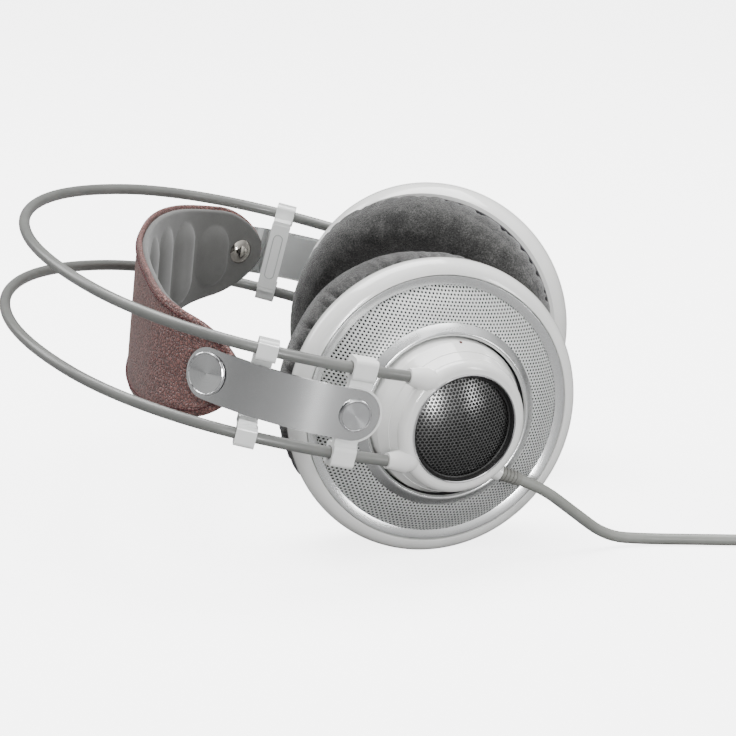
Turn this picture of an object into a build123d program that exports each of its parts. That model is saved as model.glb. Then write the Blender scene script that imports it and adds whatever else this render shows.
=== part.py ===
from build123d import *
import os
from math import sin, cos, tan, asin, atan2, radians, degrees, hypot, pi, sqrt

# Open-back over-ear headphones, millimetres.
# The parts are drawn in the worn frame: X to the wearer's left ear, Y to the back of the head,
# Z up through the arch. pose() then lays the finished headphones down on their cup rims.

# ---------- how it lies ----------
ARCH_RISE = 14.2            # the arch points this many degrees above the surface
STAND_HEIGHT = 79.77        # worn-frame origin above the surface
CENTRE_Y = -45.45           # worn-frame origin to the middle of the whole object

# ---------- arch: two parallel coated spring rods ----------
ROD_R = 2.05
ROD_Y = 15.7
ARCH_TOP = 57.3
ARCH_ARCS = [(159.5, 13.3), (138.8, 39.6), (77.3, 93.7), (130.7, 116.5)]   # radius, end angle
CLIP_ANGLE = 93.2
SLIDER_ANGLE = 108.6
SOCKET_DEPTH = 9.0

# ---------- ear cups ----------
PIVOT_X = 81.7
PIVOT_Z = -105.8
HUB_TOE = ARCH_ARCS[-1][1] - 90
CUP_TOE = {"left": 18.1, "right": 14.0}
CUP_NOD = {"left": 3.1, "right": 2.5}
BALL_R = 28.9
LIP_R = 29.2
GROOVE_Z = -5.3
RIM_R = 54.0
RIM_Z = -10.6
RIM_BACK = -18.5
PAD_BACK = -47.0
GAP = 0.02                  # between pieces that are glued or pressed together
RUN = 0.05                  # between a pin and the hole it turns in

# ---------- hub ----------
HUB_TOP = 18.3
MESH_R = 19.3
CABLE_MOUTH = (-21.5, 15.75, 13.5)
CABLE_WAY = (-0.979, 0.177, 0.099)
RELIEF_REACH = 8.6

# ---------- headband ----------
SCREW_X = 107.3
SCREW_Z = -23.6
STRAP_TOP = 9.4
STRAP_FLAT_ANGLE = 15.0
STRAP_END_ANGLE = 53.2
LEATHER_T = 1.8
LINING_T = 2.2
STRAP_HALF_W = 25.8
STRAP_END_HALF_W = 17.8
STRAP_WAIST = 20.9           # half width 78 mm out from the middle
STRAP_PAST_SCREW = 11.3
STRAP_DROOP = 9.0           # the slack strap hangs this far round its two end screws
SPACER_T = 1.3
ARM_T = 1.4
ARM_HALF_W = 9.25
ARM_LIFT = 3.6              # arm strip outside the rod plane at the slider
CAP_R = 7.75
BUTTON_R = 5.85

# ---------- cable ----------
CABLE_R = 2.05
CABLE_LENGTH = 3000.0
COIL_CENTRE = (35.6, 252.0)
COIL_MID_R = 22.3
COIL_ACROSS = 4
COIL_LAYERS = 5
COIL_LOW = 0.6
TAIL_R = 37.0
PLUG_R = 5.5
PLUG_Z = 5.6

SIDES = {"left": 1, "right": -1}


# ================= helpers =================

def turned(points):
    """A ring or disc turned about Z from an outline of (radius, height) corners."""
    return revolve(Plane.XZ * make_face(Polyline(*points, close=True)), Axis.Z)


def turned_edges(edges):
    """A ring turned about Z from edges drawn as (radius, height)."""
    face = make_face(edges).face()
    if face.normal_at().Z < 0:
        face = -face
    return revolve(Plane.XZ * face, Axis.Z)


def tube(outer, inner, low, high):
    return turned([(inner, low), (outer, low), (outer, high), (inner, high)])


def rod_between(start, end, radius):
    start, end = Vector(*start), Vector(*end)
    span = end - start
    return extrude(Plane(origin=start, z_dir=span) * Circle(radius), span.length)


def arch_points(angle):
    """Corner points of the arch centreline, as (x, z, angle), from its top down to an angle."""
    x, z, here = 0.0, ARCH_TOP, 0.0
    found = [(x, z, here)]
    for radius, end in ARCH_ARCS:
        stop = min(end, angle)
        if stop <= here:
            break
        for turn in ((here + stop) / 2, stop):
            px = x + radius * (sin(radians(turn)) - sin(radians(here)))
            pz = z + radius * (cos(radians(turn)) - cos(radians(here)))
            found.append((px, pz, turn))
        x, z, here = px, pz, stop
    return found


def arch_frame(angle, side):
    """A plane on the arch: local x along the rods towards the top, local z outward."""
    x, z, _ = arch_points(angle)[-1]
    out = (side * sin(radians(angle)), 0, cos(radians(angle)))
    up = (-side * cos(radians(angle)), 0, sin(radians(angle)))
    return Plane(origin=(side * x, 0, z), x_dir=up, z_dir=out)


def toed_frame(toe, side):
    """A plane at the ear pivot: local x towards the arch, local z outward."""
    out = (side * cos(radians(toe)), 0, -sin(radians(toe)))
    up = (side * sin(radians(toe)), 0, cos(radians(toe)))
    return Plane(origin=(side * PIVOT_X, 0, PIVOT_Z), x_dir=up, z_dir=out)


def placed(shape, frame):
    return frame.location * shape


LAID = Pos(0, CENTRE_Y, STAND_HEIGHT) * Rot(X=90 - ARCH_RISE)


def pose(shape):
    return LAID * shape


def posed_point(point, frame):
    return (LAID * frame.location * Pos(point)).position


# ================= arch =================

def arch_rod(y):
    """One coated rod, from socket to socket, as tangent arcs with straight ends."""
    half = arch_points(ARCH_ARCS[-1][1])
    x, z, angle = half[-1]
    along = Vector(cos(radians(angle)), 0, -sin(radians(angle)))
    tip = Vector(x, y, z) + along * SOCKET_DEPTH
    edges = []
    for flip in (1, -1):
        for i in range(0, len(half) - 1, 2):
            a, b, c = [Vector(flip * p[0], y, p[1]) for p in half[i:i + 3]]
            edges.append(ThreePointArc(a, b, c).edge())
        edges.append(Edge.make_line((flip * x, y, z), (flip * tip.X, y, tip.Z)))
    path = Wire(edges)
    start = Plane(origin=tip, z_dir=-along)
    return sweep(start * Circle(ROD_R), path=path)


def upper_clip():
    """Clamps both rods and bridges behind the arm strip, which slides between its two ends."""
    length = 7.3
    bridge = Pos(0, 0, -9.4) * Box(length, 27.0, 2.2)
    bridge = fillet(bridge.edges().filter_by(Axis.X), 0.7)
    groove = Pos(0, 0, -10.5) * extrude(SlotOverall(18.5, 4.0, rotation=90) - SlotOverall(17.7, 3.2, rotation=90), 0.3)
    shape = bridge - groove
    for side in (-1, 1):
        shape += Pos(0, side * 12.7, -6.2) * Box(length - 0.6, 3.4, 8.4)
        end = Pos(0, side * 15.8, -0.2) * Box(length, 7.6, 7.2)
        shape += fillet(end.edges().filter_by(Axis.X), 1.6)
        shape -= Pos(0, side * ROD_Y, 0) * Rot(Y=90) * Cylinder(ROD_R + 0.12, 30)
    return shape


# ================= hub, fixed on the rod ends =================

def hub_shell():
    low = -7.0
    at_low = sqrt(BALL_R ** 2 - low ** 2)
    shoulder = (24.6, 14.6)
    edges = [
        ThreePointArc((at_low, low), (BALL_R, 0), (sqrt(BALL_R ** 2 - 36), 6)),
        ThreePointArc((sqrt(BALL_R ** 2 - 36), 6), (26.1, 10.6), shoulder),
        ThreePointArc(shoulder, (23.9, 17.2), (22.0, HUB_TOP)),
        Polyline((22.0, HUB_TOP), (20.3, HUB_TOP), (20.3, 15.4), (17.2, 15.4), (17.2, 13.6),
                 (21.0, 13.4), (25.6, 6.0), (26.2, low), (at_low, low)),
    ]
    return turned_edges(edges)


def rod_end():
    """Where the rods enter the hub, as reach and level in the hub's frame."""
    x, z, _ = arch_points(ARCH_ARCS[-1][1])[-1]
    local = toed_frame(HUB_TOE, 1).to_local_coords(Vector(x, 0, z))
    return local.X, local.Z


def rod_socket(side):
    reach, level = rod_end()
    root = Plane(origin=(18.5, side * (ROD_Y - 0.6), level - 0.8), z_dir=(1, 0, 0), x_dir=(0, 1, 0))
    end = Plane(origin=(reach, side * ROD_Y, level), z_dir=(1, 0, 0), x_dir=(0, 1, 0))
    boss = loft([root * Circle(4.6), end * Circle(2.85)])
    under = Pos(24, side * ROD_Y, 8.4) * Box(16, 14, 10)
    return boss - under


def cable_exit(inset, reach):
    """Start and end of a straight length along the cable exit, in the hub's frame."""
    out = Vector(*CABLE_WAY).normalized()
    mouth = Vector(*CABLE_MOUTH)
    return mouth - out * inset, mouth + out * reach


def hub(side, with_cable):
    shape = hub_shell()
    for y in (-1, 1):
        shape += rod_socket(y)
    bore = turned([(0, 15.4), (20.3, 15.4), (20.3, 25), (0, 25)])
    shape -= bore
    reach, level = rod_end()
    for y in (-1, 1):
        rod_hole = rod_between((reach - SOCKET_DEPTH - 0.3, y * ROD_Y, level),
                               (reach + 5, y * ROD_Y, level), ROD_R + GAP)
        shape -= rod_hole
        pin_hole = rod_between((0, y * 20, 0), (0, y * 40, 0), 1.0 + GAP)
        shape -= pin_hole
    if with_cable:
        shape += rod_between(*cable_exit(3.6, 0.0), 3.0) - turned([(0, 18.3), (30, 18.3), (30, 30), (0, 30)])
        shape -= bore
        shape -= rod_between(*cable_exit(2.4, 20), 2.72)
    return shape


def hub_pins():
    """Two pins that carry the gimbal ring on the hub."""
    pins = [rod_between((0, y * 25.0, 0), (0, y * 30.9, 0), 1.0) for y in (-1, 1)]
    return Compound(pins)


def mesh_ring():
    return turned([(19.5, 15.45), (20.27, 15.45), (20.27, 18.7), (19.9, 19.0), (19.5, 18.7)])


def dome_arc(edge_r, edge_z, rise):
    """An arc from the rim of a dome to its top, centred on the axis."""
    radius = (edge_r ** 2 + rise ** 2) / (2 * abs(rise))
    half = asin(edge_r / radius) / 2
    sign = 1 if rise > 0 else -1
    top = edge_z + rise
    return ThreePointArc((edge_r, edge_z), (radius * sin(half), top - sign * radius * (1 - cos(half))), (0, top))


def mesh_dome():
    """Domed wire mesh with a flat flange under the ring."""
    rise = 5.4
    flange = Polyline((MESH_R - 1.3, 15.9), (MESH_R - 1.3, 15.45), (MESH_R + 0.1, 15.45), (MESH_R + 0.1, 16.3),
                      (MESH_R - 0.5, 16.3))
    outer = dome_arc(MESH_R - 0.5, 16.3, rise)
    inner = dome_arc(MESH_R - 1.3, 15.9, rise - 0.4)
    return turned_edges([outer, inner, Line((0, 16.3 + rise), (0, 15.5 + rise)), flange])


# ================= gimbal ring =================

def gimbal_ring():
    ring = tube(31.2, 29.3, -4.0, 1.5)
    ring -= Rot(X=90) * Cylinder(1.0 + RUN, 80)
    ring -= Rot(Y=90) * Cylinder(1.0 + GAP, 80)
    return ring


def ring_pins():
    """Two pins that carry the cup on the gimbal ring."""
    pins = [rod_between((x * 29.5, 0, 0), (x * 33.4, 0, 0), 1.0) for x in (-1, 1)]
    return Compound(pins)


# ================= ear cup =================

def cup_rim():
    edges = [
        ThreePointArc((49.2, GROOVE_Z), (52.5, -7.3), (RIM_R, RIM_Z)),
        ThreePointArc((RIM_R, RIM_Z), (53.4, -14.6), (51.0, RIM_BACK)),
        Polyline((51.0, RIM_BACK), (46.9, RIM_BACK), (46.9, -8.6), (44.0, -8.6), (44.0, -7.4),
                 (48.7, -7.4), (48.7, -6.9), (49.2, -6.9), (49.2, GROOVE_Z)),
    ]
    return turned_edges(edges)


def trim_ring():
    return turned([(45.25, -7.38), (48.65, -7.38), (48.65, GROOVE_Z - 0.2), (45.25, GROOVE_Z - 0.9)])


def grille():
    """Domed annular sheet; its perforations are fine holes in the finished surface."""
    top = ThreePointArc((33.1, 2.85), (39.6, -0.8), (45.2, GROOVE_Z - 1.0))
    under = ThreePointArc((44.6, -7.38), (39.0, -1.7), (32.6, 2.1))
    return turned_edges([top, Polyline((45.2, GROOVE_Z - 1.0), (45.2, -7.38), (44.6, -7.38)), under,
                         Line((32.6, 2.1), (33.1, 2.85))])


def bezel():
    edges = [
        ThreePointArc((LIP_R, 5.6), (30.0, 6.25), (31.0, 5.9)),
        ThreePointArc((31.0, 5.9), (32.2, 4.6), (33.4, 3.1)),
        Polyline((33.4, 3.1), (33.0, 3.0), (32.5, 2.4), (32.5, -3.2), (34.2, -3.2), (34.2, -4.4),
                 (31.9, -4.4), (31.9, 3.6), (31.0, 4.9), (LIP_R, 5.0), (LIP_R, 5.6)),
    ]
    shape = turned_edges(edges)
    lugs = Compound([Pos(x * 32.6, 0, -0.4) * Box(1.6, 5.0, 3.6) for x in (-1, 1)])
    shape = shape + (lugs - Cylinder(31.9, 20))
    return shape - Rot(Y=90) * Cylinder(1.0 + RUN, 80)


def baffle():
    shape = tube(46.85, 21.0, -18.4, -16.8)
    for angle in range(0, 360, 30):
        shape -= Rot(Z=angle) * Pos(33.5, 0, -17.6) * Rot(Z=90) * extrude(SlotOverall(13.0, 5.0), 2, both=True)
    return shape


def driver():
    """Driver capsule: a flanged body behind a shallow domed front."""
    outline = [(0, -7.5), (14.0, -7.5), (16.0, -9.0), (20.0, -13.0), (23.4, -13.4), (23.4, -16.78),
               (20.9, -16.78), (20.9, -18.6), (18.5, -18.9), (12.0, -18.4), (8.0, -19.3), (0, -19.8)]
    return turned(outline)


def driver_cover():
    return Pos(0, 0, -21.0) * Cylinder(25.5, 1.2)


def pad_ring():
    return tube(49.6, 37.0, -20.3, RIM_BACK - 0.1)


def ear_pad():
    """Soft cushion ring with a rolled outer edge and an open ear hollow."""
    edges = [
        Line((33.5, -20.6), (49.8, -20.6)),
        ThreePointArc((49.8, -20.6), (50.9, -30.0), (50.2, -37.5)),
        ThreePointArc((50.2, -37.5), (47.5, -44.1), (41.0, PAD_BACK)),
        ThreePointArc((41.0, PAD_BACK), (32.8, -43.3), (29.5, -34.0)),
        ThreePointArc((29.5, -34.0), (30.6, -26.0), (33.5, -20.6)),
    ]
    return turned_edges(edges)


def baffle_screws():
    """Six small screw heads round the driver, on the back of the baffle."""
    screws = []
    for angle in range(15, 375, 60):
        head = Pos(28.3, 0, -18.85) * Cylinder(1.6, 0.8)
        screws.append(Rot(Z=angle) * head)
    return Compound(screws)


# ================= headband =================

def strap_arcs():
    """Radii of the two tangent arcs of the strap, flat top and curved end."""
    b, e = radians(STRAP_FLAT_ANGLE), radians(STRAP_END_ANGLE)
    rise = STRAP_TOP - SCREW_Z
    a1, a2 = sin(b), sin(e) - sin(b)
    c1, c2 = 1 - cos(b), cos(b) - cos(e)
    end_r = (rise - SCREW_X * c1 / a1) / (c2 - a2 * c1 / a1)
    flat_r = (SCREW_X - end_r * a2) / a1
    return flat_r, end_r


STRAP_FLAT_R, STRAP_END_R = strap_arcs()
FLAT_CENTRE = Vector(0, 0, STRAP_TOP - STRAP_FLAT_R)
FLAT_TO_END = Vector(sin(radians(STRAP_FLAT_ANGLE)), 0, cos(radians(STRAP_FLAT_ANGLE)))
END_CENTRE = FLAT_CENTRE + FLAT_TO_END * (STRAP_FLAT_R - STRAP_END_R)
TIP_ANGLE = STRAP_END_ANGLE + degrees(STRAP_PAST_SCREW / STRAP_END_R)


def strap_point(angle, offset):
    """A point at an angle round the strap and an offset outside its middle surface."""
    centre, radius = (FLAT_CENTRE, STRAP_FLAT_R) if angle <= STRAP_FLAT_ANGLE else (END_CENTRE, STRAP_END_R)
    out = Vector(sin(radians(angle)), 0, cos(radians(angle)))
    return centre + out * (radius + offset)


def strap_profile(inside, outside):
    """The strap's section along its length, between two offsets, for the left half."""
    def arcs(offset):
        a = [strap_point(t, offset) for t in (0, STRAP_FLAT_ANGLE / 2, STRAP_FLAT_ANGLE)]
        middle = (STRAP_FLAT_ANGLE + TIP_ANGLE) / 2
        b = [strap_point(STRAP_FLAT_ANGLE, offset), strap_point(middle, offset), strap_point(TIP_ANGLE, offset)]
        return [ThreePointArc(*a), ThreePointArc(*b)]
    outer, inner = arcs(outside), arcs(inside)
    tip = Line(strap_point(TIP_ANGLE, outside), strap_point(TIP_ANGLE, inside))
    top = Line(strap_point(0, outside), strap_point(0, inside))
    return make_face(outer + inner + [tip, top])


def strap_outline(margin):
    """The strap seen from above: wide in the middle, tapering to round ends."""
    half, end = STRAP_HALF_W - margin, STRAP_END_HALF_W - margin
    tip_x = strap_point(TIP_ANGLE, 0).X - margin
    a, b = (44.0, half), (SCREW_X - 6.0, end)
    edges = []
    for y in (1, -1):
        edges.append(Line((0, y * half), (a[0], y * half)))
        edges.append(ThreePointArc((a[0], y * half), (78.0, y * (STRAP_WAIST - margin)), (b[0], y * b[1])))
    edges.append(ThreePointArc((b[0], end), (tip_x, 0), (b[0], -end)))
    edges.append(Line((0, half), (0, -half)))
    return make_face(edges)


def strap_layer(inside, outside, margin):
    section = extrude(strap_profile(inside, outside), 40, both=True)
    outline = Pos(0, 0, -60) * extrude(strap_outline(margin), 120)
    half = section & outline
    whole = half + mirror(half, Plane.YZ)
    turn = Pos(0, 0, SCREW_Z) * Rot(X=STRAP_DROOP) * Pos(0, 0, -SCREW_Z)
    whole = turn * whole
    for side in (1, -1):
        whole -= placed(Cylinder(1.75, 20), screw_frame(side))
    return whole


def screw_frame(side):
    """A plane on the strap's middle surface at its end screw, local z outward."""
    e = radians(STRAP_END_ANGLE)
    return Plane(origin=(side * SCREW_X, 0, SCREW_Z), x_dir=(-side * cos(e), 0, sin(e)), z_dir=(side * sin(e), 0, cos(e)))


STRAP_IN = -(LEATHER_T + LINING_T) / 2
STRAP_OUT = -STRAP_IN


def strap_screw():
    """Domed screw head on the lining, with its shank through to the arm strip."""
    head_at = STRAP_IN - 0.75
    dome = turned_edges([
        dome_arc(4.8, head_at, -2.2),
        Line((0, head_at - 2.2), (0, head_at)),
        Line((0, head_at), (4.8, head_at)),
    ])
    shank = Pos(0, 0, (head_at + STRAP_OUT + SPACER_T + ARM_T * 0.6) / 2) * Cylinder(
        1.6, STRAP_OUT + SPACER_T + ARM_T * 0.6 - head_at)
    washer = tube(3.2, 1.6, STRAP_OUT + 0.6, STRAP_OUT + SPACER_T - 0.3)
    return dome + shank + washer


# ================= arm strip =================

def arm_curve(side):
    """Centre, radius and the two end angles of the arm strip's arc, for the left side."""
    slider = arch_frame(SLIDER_ANGLE, 1)
    foot = slider.origin + slider.z_dir * ARM_LIFT
    screw = screw_frame(1)
    head = screw.origin + screw.z_dir * (STRAP_OUT + SPACER_T + ARM_T / 2)
    chord = head - foot
    toe = 90 - SLIDER_ANGLE
    lean = degrees(atan2(chord.X, chord.Z))
    bend = -toe - lean
    radius = chord.length / (2 * sin(radians(bend)))
    centre = foot - slider.z_dir * radius
    return centre, radius, foot, head


def arm_frame_at(angle, offset):
    """A plane on the left arm strip at an angle above the X axis, local z outward."""
    centre, radius, _, _ = arm_curve(1)
    out = Vector(cos(radians(angle)), 0, sin(radians(angle)))
    return Plane(origin=centre + out * (radius + offset), x_dir=(-sin(radians(angle)), 0, cos(radians(angle))), z_dir=out)


def arm_angles():
    centre, _, foot, head = arm_curve(1)
    foot_angle = degrees(atan2(foot.Z - centre.Z, foot.X - centre.X))
    head_angle = degrees(atan2(head.Z - centre.Z, head.X - centre.X))
    return foot_angle, head_angle


def arc_band(inside, outside, start, end, half_width):
    """A curved strip on the arm's arc between two angles."""
    centre, radius, _, _ = arm_curve(1)

    def point(angle, offset):
        return centre + Vector(cos(radians(angle)), 0, sin(radians(angle))) * (radius + offset)
    middle = (start + end) / 2
    outer = ThreePointArc(point(start, outside), point(middle, outside), point(end, outside))
    inner = ThreePointArc(point(start, inside), point(middle, inside), point(end, inside))
    face = make_face([outer, inner, Line(point(start, inside), point(start, outside)),
                      Line(point(end, inside), point(end, outside))])
    return extrude(face, half_width, both=True)


def arm_strip():
    foot, head = arm_angles()
    radius = arm_curve(1)[1]
    reach = degrees(ARM_HALF_W / radius)
    band = arc_band(-ARM_T / 2, ARM_T / 2, foot - reach, head + reach, ARM_HALF_W)
    body = arc_band(-3, 3, foot, head, ARM_HALF_W + 1)
    ends = [placed(Cylinder(ARM_HALF_W, 8), arm_frame_at(a, 0)) for a in (foot, head)]
    shape = band & (body + ends[0] + ends[1])
    shape -= placed(Cylinder(3.0, 10), arm_frame_at(head, 0))
    shape -= placed(Cylinder(2.0 + GAP, 10), arm_frame_at(foot, 0))
    return shape


def arm_liner():
    foot, head = arm_angles()
    radius = arm_curve(1)[1]
    start = foot + degrees(11.5 / radius)
    end = head - degrees(14.5 / radius)
    return arc_band(-ARM_T / 2 - 0.9, -ARM_T / 2 - 0.02, start, end, ARM_HALF_W - 0.8)


def arm_cap():
    _, head = arm_angles()
    cap = turned([(0, 0.72), (CAP_R, 0.72), (CAP_R, 1.35), (CAP_R - 0.5, 1.8), (CAP_R - 0.85, 1.6), (0, 1.6)])
    return placed(cap, arm_frame_at(head, 0))


def slider_body():
    """Rides on both rods; the arm strip's round end sits on its middle."""
    length = 8.5
    plate_top = ARM_LIFT - ARM_T / 2 - GAP
    shape = Pos(0, 0, plate_top - 1.6) * Box(length, 27.0, 3.2)
    shape += Pos(0, 0, plate_top - 0.6) * Cylinder(ARM_HALF_W + 0.85, 3.2)
    for side in (-1, 1):
        end = Pos(0, side * 15.9, 0) * Box(length, 8.0, 8.6)
        shape += fillet(end.edges().filter_by(Axis.X), 1.8)
        slot = Pos(0, side * ROD_Y, 0) * Rot(Y=90) * extrude(SlotOverall(5.9, 2 * ROD_R + 0.6), 20, both=True)
        shape -= slot
    shape -= Pos(0, 0, plate_top) * Cylinder(2.0 + GAP, 8)
    return shape


def slider_with_seat():
    """The slider, in place on the left, with the seat that takes the arm strip's round end."""
    foot, _ = arm_angles()
    frame = arm_frame_at(foot, 0)
    band = arc_band(-ARM_T / 2 - GAP, 8, foot - 12, foot + 12, ARM_HALF_W + 0.1)
    straight = arc_band(-8, 8, foot, foot + 14, ARM_HALF_W + 0.2)
    seat = band & (straight + placed(Cylinder(ARM_HALF_W + 0.1, 20), frame))
    return placed(slider_body(), arch_frame(SLIDER_ANGLE, 1)) - seat


def slider_button():
    top = ARM_LIFT + ARM_T / 2 + GAP
    head = turned([(0, top), (BUTTON_R, top), (BUTTON_R, top + 0.8), (BUTTON_R - 0.4, top + 1.1), (0, top + 1.35)])
    stem = Pos(0, 0, top - 1.9) * Cylinder(2.0, 3.9)
    return head + stem


# ================= cable =================

def cable_point(reach):
    """A point straight out along the cable exit, this far from its mouth."""
    _, end = cable_exit(0, reach)
    return posed_point(end, toed_frame(HUB_TOE, 1))


def tube_route():
    """From the strain relief down to the surface and along it to the coil."""
    x, y = COIL_CENTRE
    turn_r = COIL_MID_R + (COIL_ACROSS - 1) * CABLE_R
    loose = [
        (73.6, 149.8, 15.4),
        (67.6, 162.4, 4.2),
        (63.2, 177.0, 2.15),
        (63.8, 194.5, 2.15),
        (64.9, 213.0, 2.15),
        (x + turn_r, y - 19.0, 2.3),
        (x + turn_r - 0.1, y, 2.65),
    ]
    straight = [cable_point(RELIEF_REACH), cable_point(RELIEF_REACH + 9.4)]
    return straight + [Vector(a, b + CENTRE_Y, c) for a, b, c in loose]


def cable_tube():
    return filleted_tube(tube_route(), CABLE_R, "cable_tube")


def tail_route():
    """From the second layer of the coil out round its far side to the plug."""
    x, y = COIL_CENTRE
    start_r = COIL_MID_R + (COIL_ACROSS - 1) * CABLE_R
    middle = x + start_r - TAIL_R
    level = COIL_LOW + 3 * CABLE_R
    drop = PLUG_Z - level
    corner = TAIL_R / cos(radians(11.25))
    points = [(x + start_r, y, level)]
    for k in range(4):
        angle = radians(22.5 * (k + 0.5))
        points.append((middle + corner * cos(angle), y + corner * sin(angle), level + drop * (k + 1) / 5))
    points.append((middle, y + TAIL_R, PLUG_Z))
    return [Vector(a, b + CENTRE_Y, c) for a, b, c in points]


def filleted_tube(points, radius, name=""):
    radii = []
    for before, here, after in zip(points, points[1:], points[2:]):
        a, b = here - before, after - here
        turn = a.get_angle(b)
        radii.append(0.45 * min(a.length, b.length) / tan(radians(turn) / 2))
    path = FilletPolyline(*points, radius=radii)
    shape = sweep(Plane(origin=points[0], z_dir=points[1] - points[0]) * Circle(radius), path=path)
    expected = pi * radius ** 2 * path.length
    if name:
        print(name, "length", round(path.length, 1), "radii", [round(r, 1) for r in radii],
              "volume ratio", round(shape.volume / expected, 4))
    return shape


def coil_sizes():
    pitch = 2 * CABLE_R
    width = COIL_ACROSS * pitch
    return COIL_MID_R - width / 2, COIL_MID_R + width / 2, COIL_LAYERS * pitch


def at_coil(shape):
    return Pos(COIL_CENTRE[0], COIL_CENTRE[1] + CENTRE_Y, COIL_LOW) * shape


def cable_coil():
    inner, outer, height = coil_sizes()
    coil = tube(outer, inner, 0, height)
    coil = at_coil(fillet(coil.edges(), 1.6))
    for route in (tube_route(), tail_route()):
        coil -= filleted_tube(route, CABLE_R + GAP)
    return coil


def cable_tie():
    """Soft strap round one side of the coil."""
    inner, outer, height = coil_sizes()
    band = tube(outer + 0.9, inner - 0.9, -0.55, height + 0.55) - tube(outer + 0.1, inner - 0.1, -0.05, height + 0.05)
    slice_here = Pos(COIL_MID_R, 0, height / 2) * Box(40, 8.0, 40)
    return at_coil(Rot(Z=300) * (band & slice_here))


def cable_tail():
    return filleted_tube(tail_route(), CABLE_R, "cable_tail")


def plug_frame():
    """The plug lies beside the coil; local z runs along it towards its tip."""
    return Plane(origin=tail_route()[-1], z_dir=(-1, 0, 0), x_dir=(0, 0, 1))


def plug_relief():
    sleeve = turned([(0, 0.02), (2.9, 0.02), (3.6, 9.0), (0, 9.0)])
    return placed(sleeve, plug_frame())


def plug_barrel():
    return placed(turned([(0, 9.02), (4.3, 9.02), (4.8, 10.2), (4.8, 20.0), (4.2, 20.6), (0, 20.6)]), plug_frame())


def plug_pin():
    return placed(turned([(0, 20.62), (1.75, 20.62), (1.75, 31.0), (0, 31.8)]), plug_frame())


def plug_adapter():
    """Screw-on adapter from the small plug to the quarter-inch plug."""
    body = turned([(0, 20.62), (PLUG_R, 20.62), (PLUG_R, 31.5), (4.6, 32.8), (3.175, 33.0), (3.175, 56.0),
                   (2.6, 57.0), (2.2, 58.2), (2.9, 60.0), (2.4, 61.6), (0, 62.6)])
    return placed(body - turned([(0, 20.0), (1.75 + GAP, 20.0), (1.75 + GAP, 31.9), (0, 31.9)]), plug_frame())


def strain_relief():
    """Ribbed sleeve from inside the hub to the start of the loose cable."""
    start, end = cable_exit(2.3, RELIEF_REACH)
    span = end - start
    outline = [(0, 0), (2.7, 0), (2.7, 2.3)]
    step = 1.5
    for ring in range(5):
        z = 2.3 + ring * step
        r = 2.7 - 0.07 * ring
        outline += [(r - 0.3, z + 0.1), (r - 0.3, z + 0.45), (r, z + 0.55), (r, z + step)]
    outline += [(2.3, span.length - 0.02), (0, span.length - 0.02)]
    return placed(Plane(origin=start, z_dir=span).location * turned(outline), toed_frame(HUB_TOE, 1))


# ================= assembly =================

def build():
    nodes = {}
    nodes["front_rod"] = pose(arch_rod(-ROD_Y))
    nodes["rear_rod"] = pose(arch_rod(ROD_Y))
    nodes["strap_leather"] = pose(strap_layer(STRAP_OUT - LEATHER_T, STRAP_OUT, 0))
    nodes["strap_lining"] = pose(strap_layer(STRAP_IN, STRAP_OUT - LEATHER_T - GAP, 1.4))
    screws = [placed(strap_screw(), screw_frame(s)) for s in (1, -1)]
    nodes["strap_screws"] = pose(Compound(screws))
    for name, side in SIDES.items():
        hub_at = toed_frame(HUB_TOE, side)
        gimbal_at = toed_frame(CUP_TOE[name], side)
        nod = CUP_NOD[name] * side
        nodes[f"{name}_hub"] = pose(placed(hub(side, name == "left"), hub_at))
        nodes[f"{name}_hub_pins"] = pose(placed(hub_pins(), gimbal_at))
        nodes[f"{name}_mesh_ring"] = pose(placed(mesh_ring(), hub_at))
        nodes[f"{name}_mesh_dome"] = pose(placed(mesh_dome(), hub_at))
        nodes[f"{name}_upper_clip"] = pose(placed(upper_clip(), arch_frame(CLIP_ANGLE, side)))
        nodes[f"{name}_gimbal_ring"] = pose(placed(gimbal_ring(), gimbal_at))
        nodes[f"{name}_ring_pins"] = pose(placed(ring_pins(), gimbal_at))
        cup_parts = {
            "cup_rim": cup_rim, "trim_ring": trim_ring, "grille": grille, "bezel": bezel, "baffle": baffle,
            "driver": driver, "driver_cover": driver_cover, "pad_ring": pad_ring, "ear_pad": ear_pad,
            "baffle_screws": baffle_screws,
        }
        for part, make in cup_parts.items():
            nodes[f"{name}_{part}"] = pose(placed(Rot(X=nod) * make(), gimbal_at))
        arm_parts = {"arm_strip": arm_strip(), "arm_liner": arm_liner(), "arm_cap": arm_cap(),
                     "slider": slider_with_seat()}
        for part, shape in arm_parts.items():
            nodes[f"{name}_{part}"] = pose(shape if side > 0 else mirror(shape, Plane.YZ))
        nodes[f"{name}_slider_button"] = pose(placed(slider_button(), arch_frame(SLIDER_ANGLE, side)))
    nodes["cable_strain_relief"] = pose(strain_relief())
    nodes["cable_tube"] = cable_tube()
    nodes["cable_coil"] = cable_coil()
    nodes["cable_tie"] = cable_tie()
    nodes["cable_tail"] = cable_tail()
    nodes["plug_relief"] = plug_relief()
    nodes["plug_barrel"] = plug_barrel()
    nodes["plug_pin"] = plug_pin()
    nodes["plug_adapter"] = plug_adapter()
    return nodes


def main():
    os.makedirs("parts", exist_ok=True)
    nodes = build()
    for name, shape in nodes.items():
        export_step(shape, f"parts/{name}.step")
    cord = ("cable_", "plug_")
    body = Compound([shape for name, shape in nodes.items() if not name.startswith(cord)])
    box = body.bounding_box()
    print("box", [round(v, 2) for v in (*box.min, *box.max)])
    return nodes


main()
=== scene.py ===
import math
import random

import bmesh
import bpy
from mathutils import Matrix, Vector, noise


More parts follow.
